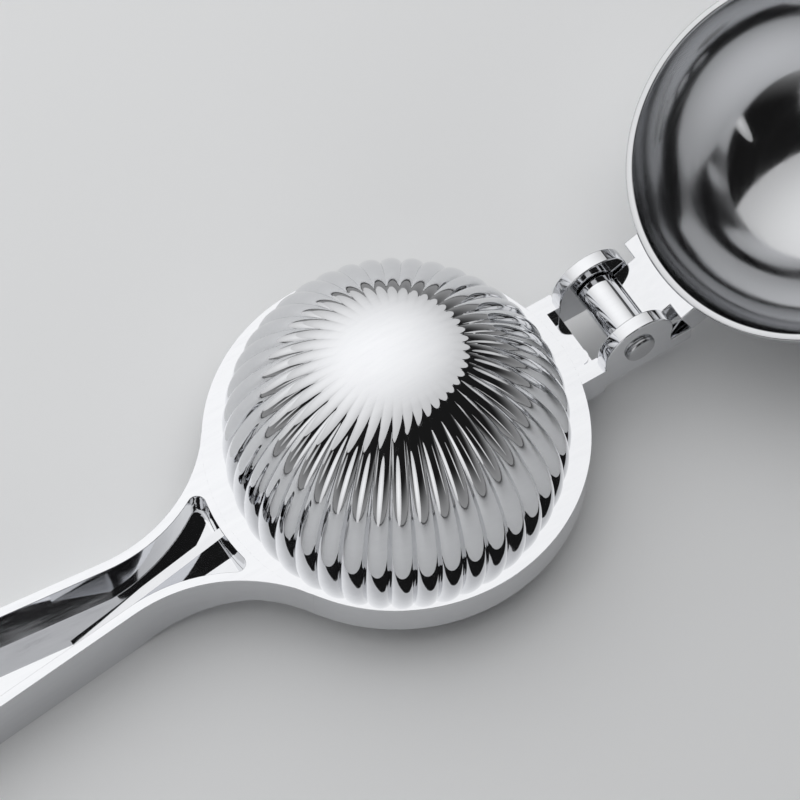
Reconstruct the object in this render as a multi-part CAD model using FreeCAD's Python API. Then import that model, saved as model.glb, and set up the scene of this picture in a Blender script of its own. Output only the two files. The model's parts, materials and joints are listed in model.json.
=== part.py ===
"""Hinged lemon squeezer: a fluted press arm and a bowl arm that turn on one pin.

Units are millimetres and degrees. Each arm is drawn in its own frame, with the centre of
its disc at the origin, its handle towards -X and the hinge axis towards +X, and with the
working face of the disc at Z = 0. The press arm stays there. The bowl arm is turned round,
moved across the hinge and tipped up, which is how the open squeezer lies on a table.
"""

import FreeCAD
import Part

import math
import os

from FreeCAD import Vector

# Bowl
bowl_rim_radius = 38.6
bowl_rise = 1.96
bowl_wall = 1.5
strainer_hole_radius = 1.9
strainer_ring_radius = 9.0
strainer_ring_step = 30.0
strainer_ring_holes = 5

# Hinge
hinge_gap = 11.8
hinge_distance = bowl_rim_radius + hinge_gap
hinge_height = 1.0
open_tilt = 25.3
pin_radius = 2.0
pin_clearance = 0.05
pin_head_radius = 3.3
pin_head_height = 1.1
barrel_radius = 4.0
ear_gap = 13.4
barrel_side_play = 0.3
barrel_length = ear_gap - 2 * barrel_side_play
ear_thickness = 3.0
ear_radius = 8.0
ear_foot_length = 7.8
ear_foot_end = hinge_distance + ear_foot_length
ear_drop = 7.5
stop_lug_reach = 5.2
stop_gap = 0.35

# Press arm disc, which closes over the bowl's rim, and dome, which closes into the bowl
rim_set_back = 0.6
flange_radius = bowl_rim_radius - rim_set_back
flange_depth = 8.5
flange_plate = 2.4
flange_wall = 2.4
peel_gap = 3.1
dome_radius = bowl_rim_radius - bowl_wall - peel_gap
dome_centre_height = 0.5
dome_wall = 3.2
flute_count = 42
flute_depth = 1.1
flute_fade_angle = 66.0
least_flute_depth = 0.02
dome_sections = 9
last_section_angle = 80.0

# Blocks that carry the hinge
block_side_margin = 0.5
block_width = ear_gap + 2 * (ear_thickness + block_side_margin)
block_length = 4.4
block_reach = flange_radius + block_length
slot_depth = 3.0
slot_drop = 3.5
ejector_mark_radius = 1.9
ejector_mark_height = 0.6
shoulder_clearance = 1.76
shoulder_depth = 8.0
web_length = 7.5
web_end = bowl_rim_radius + web_length
web_depth = 7.0
neck_top = -2.0
neck_depth = 5.0

# Handles
handle_wall = 1.9
handle_floor = 2.4
neck_reach = 21.0
neck_distance = flange_radius + neck_reach
neck_half_width = 6.2
grip_slope = 5.8
flare_length = 45.0
grip_start = neck_distance + flare_length
grip_bulge_radius = 230.0
ramp_gap = 2.0
ramp_start = flange_radius + ramp_gap
press_recess_wall = 1.6
bowl_recess_wall = 1.0
recess_corner = 1.8
rib_thickness = 1.9
rib_length = 34.0
rib_drop = 0.4

up = Vector(0, 0, 1)
across = Vector(0, 1, 0)
over_cut = 1.0

# The press arm's handle is as deep as the tipped bowl needs, so that both touch the table
tilt = math.radians(open_tilt)
bowl_centre_lift = hinge_distance * math.sin(tilt) + (bowl_rise - hinge_height) * math.cos(tilt)
handle_height = bowl_rim_radius - hinge_height - bowl_centre_lift


def box(x_low, x_high, y_low, y_high, z_low, z_high):
    """Return a box between two corners."""
    size = Vector(x_high - x_low, y_high - y_low, z_high - z_low)
    return Part.makeBox(size.x, size.y, size.z, Vector(x_low, y_low, z_low))


def cylinder_across(radius, y_low, y_high):
    """Return a cylinder on the hinge axis."""
    start = Vector(hinge_distance, y_low, hinge_height)
    return Part.makeCylinder(radius, y_high - y_low, start, across)


def line(start, end):
    """Return a straight edge."""
    return Part.LineSegment(start, end).toShape()


def arc(start, middle, end):
    """Return an arc through three points."""
    return Part.Arc(start, middle, end).toShape()


def sphere_solid(radius, centre_height):
    """Return a whole ball on the disc's axis."""
    return Part.makeSphere(radius, Vector(0, 0, centre_height), up, -90, 90, 360)


def fluted_section(elevation):
    """Return the dome's level outline at an elevation on its ball, a ring of rounded flutes."""
    fade = math.cos(math.radians(flute_fade_angle))
    angle = math.radians(elevation)
    depth = flute_depth * (math.cos(angle) - fade) / (1 - fade)
    depth = max(depth / math.cos(angle), least_flute_depth)
    crest = dome_radius * math.cos(angle)
    height = dome_centre_height + dome_radius * math.sin(angle)
    half_step = math.pi / flute_count
    edges = []
    for index in range(flute_count):
        middle = 2 * half_step * index
        valleys = [middle - half_step, middle + half_step]
        start, end = [level_point(crest - depth, turn, height) for turn in valleys]
        edges.append(arc(start, level_point(crest, middle, height), end))
    return Part.Wire(edges)


def level_point(radius, turn, height):
    """Return a point at a radius and a turn about the disc's axis."""
    return Vector(radius * math.cos(turn), radius * math.sin(turn), height)


def press_dome():
    """Return the hollow fluted dome that presses the fruit."""
    foot = fluted_section(0)
    foot.translate(Vector(0, 0, -dome_centre_height))
    sections = [foot]
    for index in range(dome_sections):
        sections.append(fluted_section(index * last_section_angle / (dome_sections - 1)))
    apex = Part.Vertex(Vector(0, 0, dome_centre_height + dome_radius))
    fluted = Part.makeLoft(sections + [apex], True, False)
    inside_radius = dome_radius - dome_wall
    hollow = sphere_solid(inside_radius, dome_centre_height)
    hollow = hollow.fuse(Part.makeCylinder(inside_radius, dome_centre_height + over_cut, Vector(0, 0, -over_cut)))
    return fluted.cut(hollow)


def press_flange():
    """Return the flat ring under the dome, with its skirt."""
    plate = Part.makeCylinder(flange_radius, flange_plate, Vector(0, 0, -flange_plate))
    skirt_height = flange_depth - flange_plate
    skirt = Part.makeCylinder(flange_radius, skirt_height, Vector(0, 0, -flange_depth))
    skirt = skirt.cut(Part.makeCylinder(flange_radius - flange_wall, skirt_height, Vector(0, 0, -flange_depth)))
    opening = Part.makeCylinder(dome_radius - dome_wall, flange_depth, Vector(0, 0, -flange_depth))
    return plate.fuse(skirt).cut(opening).removeSplitter()


def press_hinge_block():
    """Return the block between the flange and the ears, with its slot and mould mark."""
    half = block_width / 2
    block = box(0, block_reach, -half, half, -flange_depth, 0)
    block = block.cut(Part.makeCylinder(flange_radius, flange_depth, Vector(0, 0, -flange_depth)))
    slot = box(block_reach - slot_depth, block_reach + over_cut, -ear_gap / 2, ear_gap / 2, -slot_drop, over_cut)
    block = block.cut(slot)
    mark_at = Vector(block_reach - ejector_mark_radius, -ear_gap / 4, -slot_drop)
    mark = Part.makeCylinder(ejector_mark_radius, ejector_mark_height, mark_at)
    keep = box(0, block_reach, -half, half, -flange_depth, 0)
    return block.fuse(mark.common(keep))


def press_ear(side):
    """Return one ear of the clevis, with its foot, stop lug and pin hole."""
    inner = ear_gap / 2
    outer = inner + ear_thickness
    low, high = (inner, outer) if side > 0 else (-outer, -inner)
    disc = cylinder_across(ear_radius, low, high)
    web = box(block_reach, hinge_distance, low, high, -ear_drop, hinge_height)
    foot = box(hinge_distance, ear_foot_end, low, high, -ear_drop, 0)
    lug_end = ear_foot_end + stop_lug_reach
    lug = box(ear_foot_end, lug_end, low, high, -ear_drop, stop_lug_top())
    ear = disc.fuse([web, foot, lug])
    beyond = box(0, block_reach, low - over_cut, high + over_cut, -2 * ear_radius, 2 * ear_radius)
    ear = ear.cut(beyond).removeSplitter()
    return ear.cut(cylinder_across(pin_radius + pin_clearance, low - over_cut, high + over_cut))


def stop_lug_top():
    """Return the height just under the lowest corner of the bowl arm's shoulder."""
    corner_x = shoulder_reach() - hinge_distance
    corner_z = -shoulder_depth - hinge_height
    turned = -corner_x * math.sin(tilt) + corner_z * math.cos(tilt)
    return hinge_height + turned - stop_gap


def shoulder_reach():
    """Return how far the bowl arm's shoulders reach towards the hinge."""
    return hinge_distance - ear_radius - shoulder_clearance


def hinge_pin():
    """Return the pin with its two flat heads, one of them closed after assembly."""
    half = ear_gap / 2 + ear_thickness
    shank = cylinder_across(pin_radius, -half, half)
    near_head = cylinder_across(pin_head_radius, -half - pin_head_height, -half)
    far_head = cylinder_across(pin_head_radius, half, half + pin_head_height)
    pin = shank.fuse([near_head, far_head])
    rims = []
    for edge in pin.Edges:
        y = edge.CenterOfMass.y
        if abs(abs(y) - half - pin_head_height) < 0.01 and edge.Length > 6 * pin_radius:
            rims.append(edge)
    return pin.makeFillet(pin_head_height * 0.8, rims)


def handle_outline():
    """Return the closed plan outline of a handle as a wire at Z = 0.

    A concave arc leaves the disc, touches the neck and runs on into a straight flare. A long
    bulge and a round end close the grip.
    """
    slope = math.radians(grip_slope)
    reach = neck_distance ** 2 + neck_half_width ** 2 - flange_radius ** 2
    blend_radius = reach / (2 * (flange_radius - neck_half_width))
    blend_y = neck_half_width + blend_radius
    share = flange_radius / (flange_radius + blend_radius)
    root = Vector(-neck_distance * share, blend_y * share, 0)
    neck = Vector(-neck_distance, neck_half_width, 0)
    flare_x = -neck_distance - blend_radius * math.sin(slope)
    flare_y = blend_y - blend_radius * math.cos(slope)
    bulge_y = flare_y + (grip_start + flare_x) * math.tan(slope)
    half_bulge = grip_bulge_radius * math.sin(slope)
    bulge_top = bulge_y + grip_bulge_radius * (1 - math.cos(slope))
    end_radius = bulge_y / math.cos(slope)
    end_x = -grip_start - 2 * half_bulge - end_radius * (1 - math.sin(slope))
    upper = [
        root,
        Vector(flare_x, flare_y, 0),
        Vector(-grip_start, bulge_y, 0),
        Vector(-grip_start - 2 * half_bulge, bulge_y, 0),
    ]
    lower = [Vector(point.x, -point.y, 0) for point in upper]
    bulge_middle = Vector(-grip_start - half_bulge, bulge_top, 0)
    edges = [
        arc(upper[0], neck, upper[1]),
        line(upper[1], upper[2]),
        arc(upper[2], bulge_middle, upper[3]),
        arc(upper[3], Vector(end_x, 0, 0), lower[3]),
        arc(lower[3], Vector(bulge_middle.x, -bulge_top, 0), lower[2]),
        line(lower[2], lower[1]),
        arc(lower[1], Vector(neck.x, -neck.y, 0), lower[0]),
        line(lower[0], upper[0]),
    ]
    return Part.Wire(edges), end_x, upper[1].x, upper[3].x


def side_prism(stations, inset, root_depth):
    """Return the side silhouette of a handle, drawn inwards by inset, as a wide prism."""
    end_x, ramp_end, grip_end = stations
    width = 4 * flange_radius
    low = -handle_height + inset
    root = -root_depth + inset
    radius = grip_end - end_x - inset
    tip = end_x + inset
    knee = math.sqrt(0.5) * radius
    start = Vector(0, -width / 2, over_cut)
    corners = [
        start,
        Vector(tip, -width / 2, over_cut),
        Vector(tip, -width / 2, low + radius),
        Vector(tip + radius, -width / 2, low),
        Vector(ramp_end, -width / 2, low),
        Vector(-ramp_start, -width / 2, root),
        Vector(0, -width / 2, root),
    ]
    tip_middle = Vector(tip + radius - knee, -width / 2, low + radius - knee)
    edges = [
        line(corners[0], corners[1]),
        line(corners[1], corners[2]),
        arc(corners[2], tip_middle, corners[3]),
        line(corners[3], corners[4]),
        line(corners[4], corners[5]),
        line(corners[5], corners[6]),
        line(corners[6], corners[0]),
    ]
    return Part.Face(Part.Wire(edges)).extrude(Vector(0, width, 0))


def handle(disc, root_depth, wall_radius):
    """Return a handle's U-shaped channel, cut to sit against its disc."""
    outline, *stations = handle_outline()
    plan = Part.Face(outline).extrude(Vector(0, 0, -handle_height))
    outside = plan.common(side_prism(stations, 0, root_depth)).removeSplitter()
    inner = outline.makeOffset2D(-handle_wall)
    tool = Part.Face(inner).extrude(Vector(0, 0, -handle_height))
    tool = tool.fuse(Part.Face(inner).extrude(Vector(0, 0, over_cut)))
    tool = tool.common(side_prism(stations, handle_floor, root_depth))
    tool = tool.cut(recess_wall(wall_radius)).removeSplitter()
    tool = tool.makeFillet(recess_corner, corner_edges(tool, wall_radius))
    return outside.cut(tool).cut(disc)


def recess_wall(wall_radius):
    """Return the cylinder round the disc that bounds the inner end of a channel."""
    return Part.makeCylinder(wall_radius, 3 * handle_height, Vector(0, 0, -1.5 * handle_height))


def corner_edges(shape, wall_radius):
    """Return the upright edges where a channel meets the wall round the disc."""
    found = []
    for edge in shape.Edges:
        centre = edge.CenterOfMass
        near_wall = math.hypot(centre.x, centre.y) < wall_radius + 0.05
        if near_wall and edge.BoundBox.XLength < 0.01 and edge.BoundBox.YLength < 0.01:
            found.append(edge)
    return found


def handle_rib(root_depth, wall_radius):
    """Return the gusset that runs from the disc's wall down to the floor of a channel."""
    half = rib_thickness / 2
    outline, *stations = handle_outline()
    top_x = -wall_radius
    foot_x = top_x - rib_length
    low = -handle_height
    corners = [
        Vector(0, -half, -rib_drop),
        Vector(top_x, -half, -rib_drop),
        Vector(foot_x, -half, low + handle_floor),
        Vector(0, -half, low + handle_floor),
    ]
    edges = [line(corners[index], corners[(index + 1) % len(corners)]) for index in range(len(corners))]
    slab = Part.Face(Part.Wire(edges)).extrude(Vector(0, rib_thickness, 0))
    slab = slab.common(side_prism(stations, handle_floor, root_depth))
    return slab.cut(recess_wall(wall_radius))


def bowl_outside():
    """Return the bowl's outer form, a ball cut off at the rim plane."""
    ball = sphere_solid(bowl_rim_radius, bowl_rise)
    return ball.cut(Part.makeCylinder(2 * bowl_rim_radius, 2 * bowl_rim_radius))


def bowl_shell():
    """Return the bowl with its strainer holes."""
    inside = sphere_solid(bowl_rim_radius - bowl_wall, bowl_rise)
    shell = bowl_outside().cut(inside)
    drop = 2 * bowl_rim_radius
    holes = [Part.makeCylinder(strainer_hole_radius, drop, Vector(0, 0, -drop))]
    first = -strainer_ring_step * (strainer_ring_holes - 1) / 2
    for index in range(strainer_ring_holes):
        angle = math.radians(first + index * strainer_ring_step)
        x = -strainer_ring_radius * math.cos(angle)
        y = strainer_ring_radius * math.sin(angle)
        holes.append(Part.makeCylinder(strainer_hole_radius, drop, Vector(x, y, -drop)))
    return shell.cut(holes)


def bowl_hinge_block():
    """Return the block on the bowl's rim, with its two shoulders and the web between them."""
    half = block_width / 2
    shoulders = box(0, shoulder_reach(), -half, half, -shoulder_depth, 0)
    web_half = barrel_length / 2
    web = box(0, web_end, -web_half, web_half, -web_depth, 0)
    neck = box(0, hinge_distance, -web_half, web_half, -neck_depth, neck_top)
    block = shoulders.fuse([web, neck]).cut(bowl_outside())
    block = block.cut(cylinder_across(barrel_radius, -half, half))
    block = block.cut(Part.makeCylinder(bowl_rim_radius - bowl_wall, 2 * shoulder_depth, Vector(0, 0, -shoulder_depth)))
    return block.removeSplitter()


def bowl_hinge_barrel():
    """Return the barrel that turns on the pin."""
    half = barrel_length / 2
    barrel = cylinder_across(barrel_radius, -half, half)
    return barrel.cut(cylinder_across(pin_radius + pin_clearance, -half - over_cut, half + over_cut))


def single_solid(shape):
    """Return the one solid that a cut or fuse leaves inside a compound."""
    return shape.Solids[0]


def placed_on_bowl_arm(shape):
    """Turn a shape from its arm's own frame into the bowl arm's place beyond the hinge."""
    moved = shape.copy()
    moved.rotate(Vector(0, 0, 0), up, 180)
    moved.translate(Vector(2 * hinge_distance, 0, 0))
    moved.rotate(Vector(hinge_distance, 0, hinge_height), Vector(0, -1, 0), open_tilt)
    return moved


def sub_parts():
    """Return every named sub-part at its place, before the squeezer is stood on the table."""
    flange_form = Part.makeCylinder(flange_radius, 3 * handle_height, Vector(0, 0, -2 * handle_height))
    press_recess = flange_radius + press_recess_wall
    bowl_recess = bowl_rim_radius + bowl_recess_wall
    parts = {
        "press_dome": press_dome(),
        "press_flange": press_flange(),
        "press_hinge_block": press_hinge_block(),
        "press_ear_left": press_ear(1),
        "press_ear_right": press_ear(-1),
        "press_handle": handle(flange_form, flange_depth, press_recess),
        "press_handle_rib": handle_rib(flange_depth, press_recess),
        "hinge_pin": hinge_pin(),
    }
    bowl_parts = {
        "bowl_shell": bowl_shell(),
        "bowl_hinge_block": bowl_hinge_block(),
        "bowl_hinge_barrel": bowl_hinge_barrel(),
        "bowl_handle": handle(bowl_outside(), flange_depth, bowl_recess),
        "bowl_handle_rib": handle_rib(flange_depth, bowl_recess),
    }
    for name, shape in bowl_parts.items():
        parts[name] = placed_on_bowl_arm(shape)
    return {name: single_solid(shape) for name, shape in parts.items()}


def stood_on_table(parts):
    """Move the squeezer so that the origin is under the middle of its overall box."""
    whole = Part.makeCompound(list(parts.values())).optimalBoundingBox(False)
    middle_x = (whole.XMin + whole.XMax) / 2
    shift = Vector(-middle_x, -(whole.YMin + whole.YMax) / 2, -whole.ZMin)
    for shape in parts.values():
        shape.translate(shift)
    return shift


def main():
    """Build the squeezer and write one file for each sub-part."""
    os.makedirs("parts", exist_ok=True)
    parts = sub_parts()
    shift = stood_on_table(parts)
    print("disc centre in the model frame:", round(shift.x, 3), round(shift.y, 3), round(shift.z, 3))
    for name, shape in parts.items():
        print(name, shape.ShapeType, len(shape.Solids), shape.isValid(), round(shape.Volume, 1))
        shape.exportStep(os.path.join("parts", name + ".step"))


main()
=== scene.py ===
"""Dresses the hinged lemon squeezer: polished chrome castings on a pale studio floor."""

import json
import logging
import math
from dataclasses import dataclass
from enum import Enum
from typing import Callable

import bpy
from mathutils import Matrix, Vector

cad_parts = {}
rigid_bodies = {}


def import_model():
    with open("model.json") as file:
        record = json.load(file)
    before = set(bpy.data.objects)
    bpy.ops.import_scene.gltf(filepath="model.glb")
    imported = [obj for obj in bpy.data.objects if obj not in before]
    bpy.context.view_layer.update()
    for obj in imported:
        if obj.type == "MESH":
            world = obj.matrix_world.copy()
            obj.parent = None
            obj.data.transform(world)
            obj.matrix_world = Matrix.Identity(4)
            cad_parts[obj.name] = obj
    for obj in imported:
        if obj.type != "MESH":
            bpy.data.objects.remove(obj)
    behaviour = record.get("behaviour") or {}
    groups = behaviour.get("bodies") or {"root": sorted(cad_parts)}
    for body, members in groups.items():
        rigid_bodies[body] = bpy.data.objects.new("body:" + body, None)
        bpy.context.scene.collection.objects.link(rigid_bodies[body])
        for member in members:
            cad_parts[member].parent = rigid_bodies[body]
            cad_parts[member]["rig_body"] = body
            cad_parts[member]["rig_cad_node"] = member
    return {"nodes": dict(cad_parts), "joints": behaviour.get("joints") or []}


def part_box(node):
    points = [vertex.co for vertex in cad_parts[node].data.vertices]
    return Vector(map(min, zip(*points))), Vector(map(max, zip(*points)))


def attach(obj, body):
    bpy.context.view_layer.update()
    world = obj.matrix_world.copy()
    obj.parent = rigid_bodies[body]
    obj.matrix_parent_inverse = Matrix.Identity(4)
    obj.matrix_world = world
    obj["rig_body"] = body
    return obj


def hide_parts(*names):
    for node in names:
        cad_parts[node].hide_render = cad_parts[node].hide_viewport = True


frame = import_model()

log = logging.getLogger("squeezer")

MM = 0.001
UP = Vector((0.0, 0.0, 1.0))
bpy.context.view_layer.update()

# Faces that meet at less than this many degrees are shaded as one.
SMOOTH_ANGLE = 40.0

# The mix node's colour sockets go by number, because several share a name.
MIX_FIRST = 6
MIX_SECOND = 7
MIX_RESULT = 2

# The wave texture's rings lie this far apart at scale 1, in metres.
WAVE_PITCH = math.pi / 10


class Body(Enum):
    """The two arms that turn on the hinge."""

    PRESS = "press_arm"
    BOWL = "bowl_arm"


class Slot(Enum):
    """The record's material slots."""

    PLATE = "polished_plate"
    PIN = "pin_steel"


def linear(hex_colour: str) -> tuple[float, float, float, float]:
    """Turn an sRGB hex colour to linear light.

    Args:
        hex_colour: Six hex digits, such as "d8dadc".

    Returns:
        Red, green, blue and an alpha of 1.
    """
    channels = [int(hex_colour[start:start + 2], 16) / 255 for start in (0, 2, 4)]
    return tuple(c / 12.92 if c <= 0.04045 else ((c + 0.055) / 1.055) ** 2.4 for c in channels) + (1.0,)


def add_node(tree: bpy.types.NodeTree, kind: str, settings: dict, links: dict) -> bpy.types.Node:
    """Add one shader node with its settings, input values and links.

    Args:
        tree: The node tree that gets the node.
        kind: The node's type name.
        settings: Attribute names and values.
        links: Input names, each with a value or an output socket to link from.

    Returns:
        The new node.
    """
    node = tree.nodes.new(kind)
    for name, value in settings.items():
        setattr(node, name, value)
    for name, value in links.items():
        if isinstance(value, bpy.types.NodeSocket):
            tree.links.new(value, node.inputs[name])
        else:
            node.inputs[name].default_value = value
    return node


def blank_material(name: str) -> bpy.types.Material:
    """Make a material whose node tree is empty.

    Args:
        name: The material's name.

    Returns:
        The new material.
    """
    material = bpy.data.materials.new(name)
    material.use_nodes = True
    material.node_tree.nodes.clear()
    return material


@dataclass(frozen=True)
class ChromePlate:
    """Bright chrome plate on a polished zinc die-casting.

    The eye sees a near mirror. The polished casting under the plate leaves a soft ripple of
    a few millimetres in the reflections, and handling leaves faint fine wipe marks.
    """

    name: str = "chrome_plate_on_polished_zinc"
    colour: str = "e6e7e9"
    worn_colour: str = "dcdde0"
    roughness: float = 0.035
    worn_roughness: float = 0.10
    ripple_size: float = 9.0 * MM
    ripple_height: float = 0.010 * MM
    wipe_size: float = 1.6 * MM
    wipe_stretch: float = 7.0

    def build(self) -> bpy.types.Material:
        """Make the material.

        Returns:
            The finished material.
        """
        material = blank_material(self.name)
        tree = material.node_tree
        place = add_node(tree, "ShaderNodeTexCoord", {}, {})
        wipe_space = add_node(tree, "ShaderNodeMapping", {}, {
            "Vector": place.outputs["Object"],
            "Scale": (1.0, self.wipe_stretch, self.wipe_stretch),
        })
        wipes = add_node(tree, "ShaderNodeTexNoise", {}, {
            "Vector": wipe_space.outputs["Vector"],
            "Scale": 1.0 / (self.wipe_size * self.wipe_stretch),
            "Detail": 5.0,
            "Roughness": 0.62,
        })
        rubbed = add_node(tree, "ShaderNodeMapRange", {}, {
            "Value": wipes.outputs["Fac"],
            "From Min": 0.5,
            "From Max": 0.78,
            "To Min": self.roughness,
            "To Max": self.worn_roughness,
        })
        tone = add_node(tree, "ShaderNodeMix", {"data_type": "RGBA"}, {"Factor": wipes.outputs["Fac"]})
        tone.inputs[MIX_FIRST].default_value = linear(self.colour)
        tone.inputs[MIX_SECOND].default_value = linear(self.worn_colour)
        ripple = add_node(tree, "ShaderNodeTexNoise", {}, {
            "Vector": place.outputs["Object"],
            "Scale": 1.0 / self.ripple_size,
            "Detail": 1.0,
        })
        bump = add_node(tree, "ShaderNodeBump", {}, {
            "Height": ripple.outputs["Fac"],
            "Distance": self.ripple_height,
            "Strength": 1.0,
        })
        shader = add_node(tree, "ShaderNodeBsdfPrincipled", {}, {
            "Base Color": tone.outputs[MIX_RESULT],
            "Metallic": 1.0,
            "Roughness": rubbed.outputs["Result"],
            "Normal": bump.outputs["Normal"],
        })
        add_node(tree, "ShaderNodeOutputMaterial", {}, {"Surface": shader.outputs["BSDF"]})
        return material


@dataclass(frozen=True)
class SpunPlate:
    """Chrome plate on a casting that was polished while it turned, as the bowl was.

    The eye sees reflections drawn out into soft streaks round the bowl's axis. The polishing
    lines are about 0.1 mm apart, and are drawn four times as coarse so that they show.
    """

    name: str = "chrome_plate_on_spun_polished_zinc"
    colour: str = "cbccce"
    roughness: float = 0.05
    rubbed_roughness: float = 0.15
    line_pitch: float = 0.4 * MM
    band_pitch: float = 7.0 * MM
    line_height: float = 0.0012 * MM
    turn_share: float = 0.6

    def build(self, to_axis: Matrix) -> bpy.types.Material:
        """Make the material.

        Args:
            to_axis: The move that brings the bowl's axis to the Z axis.

        Returns:
            The finished material.
        """
        material = blank_material(self.name)
        tree = material.node_tree
        place = add_node(tree, "ShaderNodeTexCoord", {}, {})
        centred = add_node(tree, "ShaderNodeMapping", {}, {
            "Vector": place.outputs["Object"],
            "Location": to_axis.to_translation(),
            "Rotation": to_axis.to_euler(),
        })
        split = add_node(tree, "ShaderNodeSeparateXYZ", {}, {"Vector": centred.outputs["Vector"]})
        level = add_node(tree, "ShaderNodeCombineXYZ", {}, {
            "X": split.outputs["X"],
            "Y": split.outputs["Y"],
        })
        radius = add_node(tree, "ShaderNodeVectorMath", {"operation": "LENGTH"}, {
            "Vector": level.outputs["Vector"],
        })
        unit = add_node(tree, "ShaderNodeVectorMath", {"operation": "NORMALIZE"}, {
            "Vector": level.outputs["Vector"],
        })
        turned = add_node(tree, "ShaderNodeVectorMath", {"operation": "SCALE"}, {
            "Vector": unit.outputs["Vector"],
            "Scale": self.turn_share * self.band_pitch,
        })
        profile = add_node(tree, "ShaderNodeCombineXYZ", {}, {
            "X": radius.outputs["Value"],
            "Z": split.outputs["Z"],
        })
        along = add_node(tree, "ShaderNodeVectorMath", {"operation": "ADD"}, {})
        tree.links.new(profile.outputs["Vector"], along.inputs[0])
        tree.links.new(turned.outputs["Vector"], along.inputs[1])
        lines = add_node(tree, "ShaderNodeTexNoise", {}, {
            "Vector": profile.outputs["Vector"],
            "Scale": 1.0 / self.line_pitch,
            "Detail": 2.0,
        })
        bands = add_node(tree, "ShaderNodeTexNoise", {}, {
            "Vector": along.outputs["Vector"],
            "Scale": 1.0 / self.band_pitch,
            "Detail": 6.0,
            "Roughness": 0.7,
        })
        rubbed = add_node(tree, "ShaderNodeMapRange", {}, {
            "Value": bands.outputs["Fac"],
            "From Min": 0.36,
            "From Max": 0.66,
            "To Min": self.roughness,
            "To Max": self.rubbed_roughness,
        })
        bump = add_node(tree, "ShaderNodeBump", {}, {
            "Height": lines.outputs["Fac"],
            "Distance": self.line_height,
        })
        shader = add_node(tree, "ShaderNodeBsdfPrincipled", {}, {
            "Base Color": linear(self.colour),
            "Metallic": 1.0,
            "Roughness": rubbed.outputs["Result"],
            "Normal": bump.outputs["Normal"],
        })
        add_node(tree, "ShaderNodeOutputMaterial", {}, {"Surface": shader.outputs["BSDF"]})
        return material


@dataclass(frozen=True)
class TurnedSteel:
    """Bright turned steel of the hinge pin.

    The eye sees a greyer metal than the plate, with fine turning rings on the heads.
    """

    name: str = "turned_steel_pin"
    colour: str = "b9babc"
    roughness: float = 0.24
    ring_pitch: float = 0.35 * MM
    ring_height: float = 0.006 * MM

    def build(self, axis_point: Vector) -> bpy.types.Material:
        """Make the material.

        Args:
            axis_point: A point on the pin's axis, which the turning rings go round.

        Returns:
            The finished material.
        """
        material = blank_material(self.name)
        tree = material.node_tree
        place = add_node(tree, "ShaderNodeTexCoord", {}, {})
        centred = add_node(tree, "ShaderNodeMapping", {}, {
            "Vector": place.outputs["Object"],
            "Location": -axis_point,
        })
        rings = add_node(tree, "ShaderNodeTexWave", {"wave_type": "RINGS", "rings_direction": "Y"}, {
            "Vector": centred.outputs["Vector"],
            "Scale": WAVE_PITCH / self.ring_pitch,
            "Distortion": 0.6,
        })
        bump = add_node(tree, "ShaderNodeBump", {}, {
            "Height": rings.outputs["Fac"],
            "Distance": self.ring_height,
        })
        shader = add_node(tree, "ShaderNodeBsdfPrincipled", {}, {
            "Base Color": linear(self.colour),
            "Metallic": 1.0,
            "Roughness": self.roughness,
            "Normal": bump.outputs["Normal"],
        })
        add_node(tree, "ShaderNodeOutputMaterial", {}, {"Surface": shader.outputs["BSDF"]})
        return material


def deselect_all() -> None:
    """Leave object mode's selection empty."""
    if bpy.context.mode != "OBJECT":
        bpy.ops.object.mode_set(mode="OBJECT")
    bpy.ops.object.select_all(action="DESELECT")


def make_active(piece: bpy.types.Object) -> None:
    """Select one piece alone and make it active.

    Args:
        piece: The piece.
    """
    deselect_all()
    piece.select_set(True)
    bpy.context.view_layer.objects.active = piece


def select_in_edit(piece: bpy.types.Object, mode: str, wanted: Callable) -> None:
    """Select the elements that a test accepts, and enter edit mode.

    Args:
        piece: The piece whose mesh is edited.
        mode: "VERT", "EDGE" or "FACE".
        wanted: A test that gets one element of the mesh.
    """
    make_active(piece)
    bpy.ops.object.mode_set(mode="EDIT")
    bpy.ops.mesh.select_mode(type=mode)
    bpy.ops.mesh.select_all(action="DESELECT")
    bpy.ops.object.mode_set(mode="OBJECT")
    elements = {"VERT": piece.data.vertices, "EDGE": piece.data.edges, "FACE": piece.data.polygons}[mode]
    for element in elements:
        element.select = wanted(element)
    bpy.ops.object.mode_set(mode="EDIT")


def apply_modifiers(piece: bpy.types.Object) -> None:
    """Apply every modifier of a piece in order.

    Args:
        piece: The piece.
    """
    make_active(piece)
    for modifier in list(piece.modifiers):
        bpy.ops.object.modifier_apply(modifier=modifier.name)


def add_wall(piece: bpy.types.Object, thickness: float) -> None:
    """Give an open shell its wall, grown inwards.

    Args:
        piece: The shell.
        thickness: The wall's thickness.
    """
    shell = piece.modifiers.new("wall", "SOLIDIFY")
    shell.thickness = thickness
    shell.offset = -1.0
    shell.use_rim = True
    apply_modifiers(piece)


def smooth(piece: bpy.types.Object) -> None:
    """Shade a piece smooth, with its sharper edges kept hard."""
    make_active(piece)
    bpy.ops.object.shade_smooth_by_angle(angle=math.radians(SMOOTH_ANGLE), keep_sharp_edges=False)


def settle(piece: bpy.types.Object) -> None:
    """Bring a piece's place, turn and scale into its mesh."""
    make_active(piece)
    bpy.ops.object.transform_apply(location=True, rotation=True, scale=True)


def finished(
        piece: bpy.types.Object, body: Body,
        material: bpy.types.Material, nodes: list[str]) -> None:
    """Give a piece its finish and its body, hide the nodes it stands for, and report it.

    Args:
        piece: The finished piece.
        body: The arm that it rides on.
        material: Its material.
        nodes: The names of the nodes that it stands for.
    """
    piece.data.materials.clear()
    piece.data.materials.append(material)
    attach(piece, body.value)
    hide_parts(*nodes)
    log.info("%s: %d faces on %s", piece.name, len(piece.data.polygons), body.value)


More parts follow.
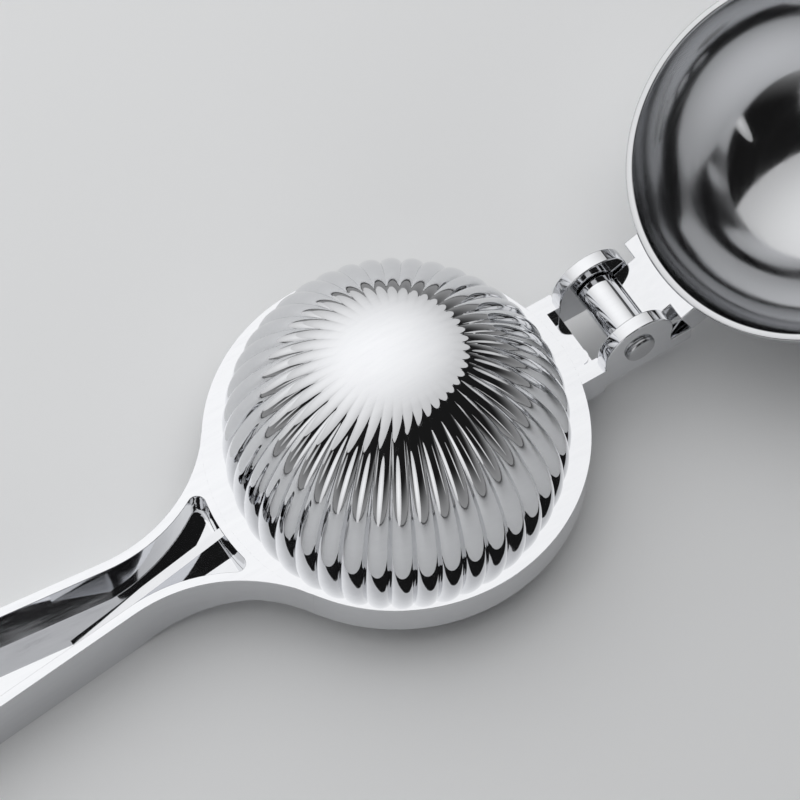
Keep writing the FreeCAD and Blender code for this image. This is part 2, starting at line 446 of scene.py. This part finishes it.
@dataclass(frozen=True)
class EasedCopy:
    """A cast feature copied from its solid, with its sharp edges eased as a polished casting's are."""

    node: str
    name: str
    ease: float
    segments: int = 3
    sharp_angle: float = 28.0
    deep_ease: float = 0.0
    deep_segments: int = 6
    merge_distance: float = 0.002 * MM
    flat_angle: float = 0.6

    def build(self, keep_sharp: Callable, is_deep: Callable | None = None) -> bpy.types.Object:
        """Make the piece.

        Args:
            keep_sharp: A test on an edge's middle, true where the edge isn't eased.
            is_deep: A test on an edge's middle, true where the edge gets the deep easing.

        Returns:
            The new piece, without a material.
        """
        source = frame["nodes"][self.node]
        piece = source.copy()
        piece.data = source.data.copy()
        piece.parent = None
        piece.name = self.name
        piece.data.name = self.name
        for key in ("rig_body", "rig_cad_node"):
            del piece[key]
        bpy.context.scene.collection.objects.link(piece)
        select_in_edit(piece, "VERT", lambda vertex: True)
        bpy.ops.mesh.select_all(action="SELECT")
        bpy.ops.mesh.remove_doubles(threshold=self.merge_distance)
        bpy.ops.mesh.customdata_custom_splitnormals_clear()
        bpy.ops.mesh.dissolve_limited(angle_limit=math.radians(self.flat_angle))
        bpy.ops.object.mode_set(mode="OBJECT")
        if is_deep is None:
            self.ease_edges(piece, keep_sharp, self.ease, self.segments)
        else:
            self.ease_edges(
                piece, lambda middle: keep_sharp(middle) or not is_deep(middle),
                self.deep_ease, self.deep_segments)
            self.ease_edges(
                piece, lambda middle: keep_sharp(middle) or is_deep(middle),
                self.ease, self.segments)
        smooth(piece)
        flatten = piece.modifiers.new("flat_faces", "WEIGHTED_NORMAL")
        flatten.mode = "FACE_AREA"
        flatten.keep_sharp = True
        apply_modifiers(piece)
        return piece

    def ease_edges(
            self, piece: bpy.types.Object, keep_sharp: Callable,
            offset: float, segments: int) -> None:
        """Bevel the sharp edges that the test doesn't keep.

        Args:
            piece: The piece.
            keep_sharp: A test on an edge's middle, true where the edge isn't eased.
            offset: The bevel's width along each face.
            segments: The bevel's number of steps.
        """
        mesh = piece.data
        faces_of_edge: dict[tuple[int, int], list[int]] = {}
        for face in mesh.polygons:
            for key in face.edge_keys:
                faces_of_edge.setdefault(key, []).append(face.index)
        limit = math.cos(math.radians(self.sharp_angle))

        def sharp(edge: bpy.types.MeshEdge) -> bool:
            """Tell whether an edge is sharp and isn't kept.

            Args:
                edge: An edge of the mesh.

            Returns:
                True where the edge gets the bevel.
            """
            sides = faces_of_edge.get(edge.key, [])
            if len(sides) != 2:
                return False
            first, second = (mesh.polygons[side].normal for side in sides)
            middle = sum((mesh.vertices[index].co for index in edge.vertices), Vector()) / 2
            return first.dot(second) < limit and not keep_sharp(middle)

        select_in_edit(piece, "EDGE", sharp)
        bpy.ops.mesh.bevel(offset=offset, segments=segments, profile=0.5, clamp_overlap=True)
        bpy.ops.object.mode_set(mode="OBJECT")


@dataclass(frozen=True)
class Hinge:
    """Where the hinge and the ring's disc lie, and how far the bowl arm is tilted at rest."""

    pivot: Vector
    disc: Vector
    tilt: float

    @classmethod
    def from_frame(cls) -> "Hinge":
        """Read the hinge from the frame.

        Returns:
            The hinge, with the middle of the ring's upper face as its disc.
        """
        joint = frame["joints"][0]
        low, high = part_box("press_flange")
        disc = Vector(((low.x + high.x) / 2, (low.y + high.y) / 2, high.z))
        folded = math.radians(joint["range_deg"][1])
        return cls(Vector(joint["pos_m"]), disc, math.pi - folded)

    def to_bowl_arm(self) -> Matrix:
        """Work out where the bowl arm lies.

        Returns:
            The move that carries the press arm's own frame to the bowl arm's place.
        """
        reach = self.pivot.x - self.disc.x
        about = Matrix.Rotation(math.pi, 4, "Z")
        beyond = Matrix.Translation(Vector((2 * reach, 0, 0)))
        pivot = Vector((reach, 0, self.pivot.z - self.disc.z))
        lift = Matrix.Translation(pivot) @ Matrix.Rotation(-self.tilt, 4, "Y") @ Matrix.Translation(-pivot)
        return Matrix.Translation(self.disc) @ lift @ beyond @ about


@dataclass
class FlutedDome:
    """The hollow dome, its flutes rounded and its valleys sharp, fading to a smooth apex."""

    hinge: Hinge
    radius: float = 34.0 * MM
    centre_height: float = 0.5 * MM
    wall: float = 1.92 * MM
    flutes: int = 42
    columns_per_flute: int = 12
    rings: int = 96
    depth: float = 1.25 * MM
    flute_reach: float = 0.92
    fade_angle: float = 72.0
    fade_power: float = 1.25
    apex_radius: float = 0.5 * MM
    level_tolerance: float = 0.01 * MM

    def build(self) -> bpy.types.Object:
        """Make the dome.

        Returns:
            The new piece, without a material.
        """
        deselect_all()
        bpy.ops.mesh.primitive_uv_sphere_add(
            segments=self.flutes * self.columns_per_flute, ring_count=self.rings,
            radius=self.radius, location=(0, 0, 0))
        dome = bpy.context.active_object
        dome.name = "fluted_dome"
        dome.data.name = dome.name
        self.cut_lower_half(dome)
        self.press_flutes(dome)
        self.add_foot_and_wall(dome)
        dome.location = self.hinge.disc + UP * self.centre_height
        settle(dome)
        smooth(dome)
        return dome

    def cut_lower_half(self, dome: bpy.types.Object) -> None:
        """Remove the ball's lower half.

        Args:
            dome: The ball, centred on the origin.
        """
        select_in_edit(dome, "VERT", lambda vertex: vertex.co.z < -self.level_tolerance)
        bpy.ops.mesh.delete(type="VERT")
        bpy.ops.object.mode_set(mode="OBJECT")

    def press_flutes(self, dome: bpy.types.Object) -> None:
        """Draw each upright row of vertices inwards by its place across a flute.

        Args:
            dome: The half ball.
        """
        deepest = 1 - math.sqrt(1 - self.flute_reach ** 2)
        step = 2 * math.pi / self.flutes
        fade = math.cos(math.radians(self.fade_angle))
        for vertex in dome.data.vertices:
            point = vertex.co
            level = math.hypot(point.x, point.y)
            if level < self.apex_radius:
                continue
            share = (math.atan2(point.y, point.x) % step) / step
            offset = abs(2 * share - 1)
            strength = max(0.0, (level / self.radius - fade) / (1 - fade)) ** self.fade_power
            bulge = math.sqrt(max(0.0, 1 - (self.flute_reach * (1 - offset)) ** 2))
            sink = (1 - bulge) / deepest
            point.xyz = point * (1 - self.depth * strength * sink / self.radius)

    def add_foot_and_wall(self, dome: bpy.types.Object) -> None:
        """Extrude the short upright foot down to the ring, and give the shell its wall.

        Args:
            dome: The fluted half ball.
        """
        select_in_edit(dome, "VERT", lambda vertex: abs(vertex.co.z) < self.level_tolerance)
        bpy.ops.mesh.select_mode(type="EDGE")
        bpy.ops.mesh.extrude_region_move(TRANSFORM_OT_translate={"value": (0, 0, -self.centre_height)})
        bpy.ops.object.mode_set(mode="OBJECT")
        add_wall(dome, self.wall)


@dataclass
class StrainerBowl:
    """The polished bowl with its thin bright rim and its strainer holes."""

    hinge: Hinge
    rim_radius: float = 38.6 * MM
    rise: float = 1.96 * MM
    wall: float = 1.5 * MM
    columns: int = 192
    rings: int = 128
    hole_radius: float = 1.9 * MM
    hole_sides: int = 32
    drill_length: float = 12.0 * MM
    ring_radius: float = 9.0 * MM
    ring_step: float = 30.0
    ring_holes: int = 5
    rim_ease: float = 0.35 * MM
    rim_segments: int = 3
    rim_tip: float = 0.4 * MM
    level_tolerance: float = 0.001 * MM
    radius_tolerance: float = 0.2 * MM
    upright_share: float = 0.9

    def build(self) -> bpy.types.Object:
        """Make the bowl.

        Returns:
            The new piece, without a material.
        """
        deselect_all()
        bpy.ops.mesh.primitive_uv_sphere_add(
            segments=self.columns, ring_count=self.rings,
            radius=self.rim_radius, location=(0, 0, self.rise))
        bowl = bpy.context.active_object
        bowl.name = "strainer_bowl"
        bowl.data.name = bowl.name
        settle(bowl)
        select_in_edit(bowl, "VERT", lambda vertex: True)
        bpy.ops.mesh.select_all(action="SELECT")
        bpy.ops.mesh.bisect(plane_co=(0, 0, 0), plane_no=(0, 0, 1), clear_outer=True)
        bpy.ops.object.mode_set(mode="OBJECT")
        add_wall(bowl, self.wall)
        self.level_rim(bowl)
        self.ease_rim(bowl)
        self.drill(bowl)
        bowl.matrix_world = self.hinge.to_bowl_arm()
        settle(bowl)
        smooth(bowl)
        return bowl

    def level_rim(self, bowl: bpy.types.Object) -> None:
        """Lay the inner edge of the rim in the rim's plane, where the wall's direction tips it.

        Args:
            bowl: The walled bowl, with its rim in the plane z = 0.
        """
        for vertex in bowl.data.vertices:
            if vertex.co.z > -self.rim_tip:
                vertex.co.z = 0.0

    def ease_rim(self, bowl: bpy.types.Object) -> None:
        """Round both edges of the rim.

        Args:
            bowl: The bowl with its rim levelled.
        """
        mesh = bowl.data
        on_rim = {vertex.index for vertex in mesh.vertices if abs(vertex.co.z) < self.level_tolerance}
        flat_edges = set()
        for face in mesh.polygons:
            if abs(face.normal.z) > self.upright_share and set(face.vertices) <= on_rim:
                flat_edges.update(face.edge_keys)

        def round_the_rim(edge: bpy.types.MeshEdge) -> bool:
            """Tell whether an edge runs round the rim.

            Args:
                edge: An edge of the mesh.

            Returns:
                True where the edge lies on the rim and doesn't cross it.
            """
            start, end = (mesh.vertices[index].co for index in edge.vertices)
            difference = abs(math.hypot(start.x, start.y) - math.hypot(end.x, end.y))
            return edge.key in flat_edges and difference < self.radius_tolerance

        select_in_edit(bowl, "EDGE", round_the_rim)
        bpy.ops.mesh.bevel(offset=self.rim_ease, segments=self.rim_segments, profile=0.5)
        bpy.ops.object.mode_set(mode="OBJECT")

    def drill(self, bowl: bpy.types.Object) -> None:
        """Cut the strainer holes through the bottom.

        Args:
            bowl: The bowl with its rim rounded.
        """
        first = -self.ring_step * (self.ring_holes - 1) / 2
        places = [(0.0, 0.0)]
        for index in range(self.ring_holes):
            angle = math.radians(first + index * self.ring_step)
            places.append((-self.ring_radius * math.cos(angle), self.ring_radius * math.sin(angle)))
        for x, y in places:
            deselect_all()
            bpy.ops.mesh.primitive_cylinder_add(
                vertices=self.hole_sides, radius=self.hole_radius, depth=self.drill_length,
                location=(x, y, self.rise - self.rim_radius))
            drill = bpy.context.active_object
            settle(drill)
            cut = bowl.modifiers.new("hole", "BOOLEAN")
            cut.operation = "DIFFERENCE"
            cut.solver = "EXACT"
            cut.object = drill
            apply_modifiers(bowl)
            bpy.data.objects.remove(drill)


@dataclass
class CastArm:
    """What both arms share: their hinge, their plate and how far their edges are eased."""

    hinge: Hinge
    plate: bpy.types.Material
    seam: float = 0.15 * MM
    rim_depth: float = 3.0 * MM
    small_ease: float = 0.3 * MM
    edge_ease: float = 0.35 * MM
    channel_ease: float = 2.2 * MM

    def dress(self, features: list[EasedCopy], body: Body, on_seam: Callable, is_deep: Callable) -> None:
        """Build the eased features and give them their plate.

        Args:
            features: The features, in order.
            body: The arm that they ride on.
            on_seam: A test on an edge's middle, true where two features of the casting meet.
            is_deep: A test on an edge's middle, true in the handle's channel and on its back.
        """
        for feature in features:
            deep = is_deep if feature.deep_ease > 0 else None
            piece = feature.build(on_seam, deep)
            finished(piece, body, self.plate, [feature.node])


@dataclass
class PressArm(CastArm):
    """The press arm: dome, ring, hinge block, ears and handle, one casting in real life."""

    flange_radius: float = 38.0 * MM
    ring_ease: float = 0.5 * MM
    handle_root_reach: float = 20.9 * MM
    block_reach: float = 10.25 * MM

    def on_disc_seam(self, middle: Vector) -> bool:
        """Tell whether a point lies where the ring meets the handle or the block.

        Args:
            middle: The point.

        Returns:
            True on either seam.
        """
        local = middle - self.hinge.disc
        near = abs(math.hypot(local.x, local.y) - self.flange_radius) < self.seam
        in_handle = local.x < 0 and abs(local.y) < self.handle_root_reach
        in_block = local.x > 0 and abs(local.y) < self.block_reach
        return near and (in_handle or in_block)

    def on_channel_or_back(self, middle: Vector) -> bool:
        """Tell whether a point lies well under the rim of the handle."""
        return middle.z - self.hinge.disc.z < -self.rim_depth

    def build(self) -> None:
        """Build and dress the whole arm."""
        dome = FlutedDome(self.hinge).build()
        finished(dome, Body.PRESS, self.plate, ["press_dome"])
        features = [
            EasedCopy("press_flange", "flat_ring", self.ring_ease),
            EasedCopy("press_hinge_block", "hinge_block", self.small_ease),
            EasedCopy("press_ear_left", "ear_left", self.edge_ease),
            EasedCopy("press_ear_right", "ear_right", self.edge_ease),
            EasedCopy("press_handle", "press_grip", self.edge_ease, deep_ease=self.channel_ease),
            EasedCopy("press_handle_rib", "press_gusset", self.small_ease),
        ]
        self.dress(features, Body.PRESS, self.on_disc_seam, self.on_channel_or_back)


@dataclass
class BowlArm(CastArm):
    """The bowl arm: bowl, rim block, barrel and handle, one casting in real life."""

    def on_bowl_seam(self, middle: Vector) -> bool:
        """Tell whether a point lies where the bowl meets its block or handle.

        Args:
            middle: The point.

        Returns:
            True on either seam.
        """
        local = self.hinge.to_bowl_arm().inverted() @ middle
        centre = Vector((0, 0, StrainerBowl.rise))
        return abs((local - centre).length - StrainerBowl.rim_radius) < self.seam

    def on_channel_or_back(self, middle: Vector) -> bool:
        """Tell whether a point lies well under the rim of the handle."""
        return (self.hinge.to_bowl_arm().inverted() @ middle).z < -self.rim_depth

    def build(self) -> None:
        """Build and dress the whole arm."""
        bowl = StrainerBowl(self.hinge).build()
        spun = SpunPlate().build(self.hinge.to_bowl_arm().inverted())
        finished(bowl, Body.BOWL, spun, ["bowl_shell"])
        features = [
            EasedCopy("bowl_hinge_block", "bowl_block", self.small_ease),
            EasedCopy("bowl_hinge_barrel", "barrel", self.small_ease),
            EasedCopy("bowl_handle", "bowl_grip", self.edge_ease, deep_ease=self.channel_ease),
            EasedCopy("bowl_handle_rib", "bowl_gusset", self.small_ease),
        ]
        self.dress(features, Body.BOWL, self.on_bowl_seam, self.on_channel_or_back)


@dataclass
class HingePin:
    """The steel pin through the ears and the barrel."""

    hinge: Hinge
    ease: float = 0.15 * MM
    segments: int = 2

    def build(self) -> None:
        """Build and dress the pin."""
        steel = TurnedSteel().build(self.hinge.pivot)
        copy = EasedCopy("hinge_pin", "steel_pin", self.ease, self.segments)
        pin = copy.build(lambda middle: False)
        finished(pin, Body.PRESS, steel, ["hinge_pin"])


@dataclass(frozen=True)
class SoftPanel:
    """One flat diffuser panel, aimed at the dome, brightest in its middle."""

    name: str
    azimuth: float
    elevation: float
    distance: float
    width: float
    height: float
    middle: float
    edge: float
    sides: int = 96
    unit_radius: float = 0.5

    def build(self, target: Vector) -> None:
        """Hang the panel.

        Args:
            target: The point that it is aimed at.
        """
        turn, rise = math.radians(self.azimuth), math.radians(self.elevation)
        direction = Vector((
            math.sin(turn) * math.cos(rise),
            math.cos(turn) * math.cos(rise),
            math.sin(rise)))
        deselect_all()
        bpy.ops.mesh.primitive_circle_add(
            vertices=self.sides, radius=self.unit_radius, fill_type="NGON", location=(0, 0, 0))
        panel = bpy.context.active_object
        panel.name = self.name
        panel.data.materials.append(self.glow())
        panel.scale = (self.width, self.height, 1.0)
        panel.rotation_euler = direction.to_track_quat("Z", "Y").to_euler()
        panel.location = target + direction * self.distance
        panel.visible_camera = False
        panel.visible_shadow = False

    def glow(self) -> bpy.types.Material:
        """Make the diffuser's light, which fades from its middle to its edge.

        Returns:
            The finished material.
        """
        material = blank_material(self.name)
        tree = material.node_tree
        place = add_node(tree, "ShaderNodeTexCoord", {}, {})
        from_middle = add_node(tree, "ShaderNodeVectorMath", {"operation": "LENGTH"}, {
            "Vector": place.outputs["Object"],
        })
        fade = add_node(tree, "ShaderNodeMapRange", {"interpolation_type": "SMOOTHSTEP"}, {
            "Value": from_middle.outputs["Value"],
            "From Min": 0.0,
            "From Max": self.unit_radius,
            "To Min": self.middle,
            "To Max": self.edge,
        })
        light = add_node(tree, "ShaderNodeEmission", {}, {"Strength": fade.outputs["Result"]})
        add_node(tree, "ShaderNodeOutputMaterial", {}, {"Surface": light.outputs["Emission"]})
        return material


@dataclass
class Studio:
    """The pale floor, the diffuser panels, the dim room and the camera."""

    hinge: Hinge
    floor_colour: str = "f2f3f4"
    floor_roughness: float = 0.6
    floor_size: float = 6.0
    room_colour: str = "ffffff"
    room_foot_glow: float = 0.30
    room_top_glow: float = 0.012
    room_fade_rise: float = 0.48
    panels: tuple[SoftPanel, ...] = (
        SoftPanel("overhead_panel", -2.0, 60.0, 0.58, 1.95, 1.65, 1.22, 0.70),
        SoftPanel("left_rear_panel", -34.0, 16.0, 0.90, 1.10, 0.62, 1.0, 0.75),
        SoftPanel("front_panel", 224.0, 22.0, 0.95, 0.54, 0.86, 1.15, 0.8),
        SoftPanel("right_front_panel", 160.0, 26.0, 0.95, 0.12, 0.60, 0.9, 0.5),
        SoftPanel("right_end_panel", 96.0, 24.0, 1.10, 0.30, 0.50, 0.8, 0.5),
        SoftPanel("left_end_panel", 272.0, 20.0, 1.10, 0.26, 0.46, 0.8, 0.5),
    )
    camera_place: Vector = Vector((-166.1, -269.9, 603.1)) * MM
    elevation: float = 61.73
    azimuth: float = 31.74
    roll: float = -0.4
    lens: float = 157.5
    sensor_width: float = 36.0
    nearest: float = 0.01
    farthest: float = 20.0

    def build(self) -> None:
        """Set up everything that isn't the object."""
        bpy.context.scene.view_settings.view_transform = "Standard"
        self.build_floor()
        self.build_world()
        for panel in self.panels:
            panel.build(self.hinge.disc)
        self.build_camera()

    def build_floor(self) -> None:
        """Lay the pale floor."""
        deselect_all()
        bpy.ops.mesh.primitive_plane_add(size=self.floor_size, location=(0, 0, 0))
        floor = bpy.context.active_object
        floor.name = "floor"
        material = bpy.data.materials.new("pale_floor")
        material.use_nodes = True
        shader = material.node_tree.nodes["Principled BSDF"]
        shader.inputs["Base Color"].default_value = linear(self.floor_colour)
        shader.inputs["Roughness"].default_value = self.floor_roughness
        floor.data.materials.append(material)

    def build_world(self) -> None:
        """Fill the room with a dim light that fades upwards, the same for every ray."""
        world = bpy.data.worlds.new("studio")
        bpy.context.scene.world = world
        world.use_nodes = True
        tree = world.node_tree
        tree.nodes.clear()
        direction = add_node(tree, "ShaderNodeTexCoord", {}, {})
        split = add_node(tree, "ShaderNodeSeparateXYZ", {}, {"Vector": direction.outputs["Generated"]})
        glow = add_node(tree, "ShaderNodeMapRange", {"interpolation_type": "SMOOTHSTEP"}, {
            "Value": split.outputs["Z"],
            "From Min": 0.0,
            "From Max": self.room_fade_rise,
            "To Min": self.room_foot_glow,
            "To Max": self.room_top_glow,
        })
        light = add_node(tree, "ShaderNodeBackground", {}, {
            "Color": linear(self.room_colour),
            "Strength": glow.outputs["Result"],
        })
        add_node(tree, "ShaderNodeOutputWorld", {}, {"Surface": light.outputs["Background"]})

    def build_camera(self) -> None:
        """Set the camera at the photograph's viewing angle."""
        azimuth = math.radians(self.azimuth)
        elevation = math.radians(self.elevation)
        forward = Vector((
            math.sin(azimuth) * math.cos(elevation),
            math.cos(azimuth) * math.cos(elevation),
            -math.sin(elevation)))
        deselect_all()
        bpy.ops.object.camera_add(location=self.hinge.disc + self.camera_place)
        camera = bpy.context.active_object
        camera.name = "photo_camera"
        tilt = Matrix.Rotation(math.radians(self.roll), 3, "Z").to_quaternion()
        camera.rotation_mode = "QUATERNION"
        camera.rotation_quaternion = forward.to_track_quat("-Z", "Y") @ tilt
        camera.data.lens = self.lens
        camera.data.sensor_width = self.sensor_width
        camera.data.clip_start = self.nearest
        camera.data.clip_end = self.farthest
        bpy.context.scene.camera = camera


def main() -> None:
    """Build the squeezer and its studio."""
    logging.basicConfig(level=logging.INFO, format="%(name)s %(message)s")
    hinge = Hinge.from_frame()
    plate = ChromePlate().build()
    PressArm(hinge, plate).build()
    BowlArm(hinge, plate).build()
    HingePin(hinge).build()
    Studio(hinge).build()


if __name__ == "__main__":
    main()
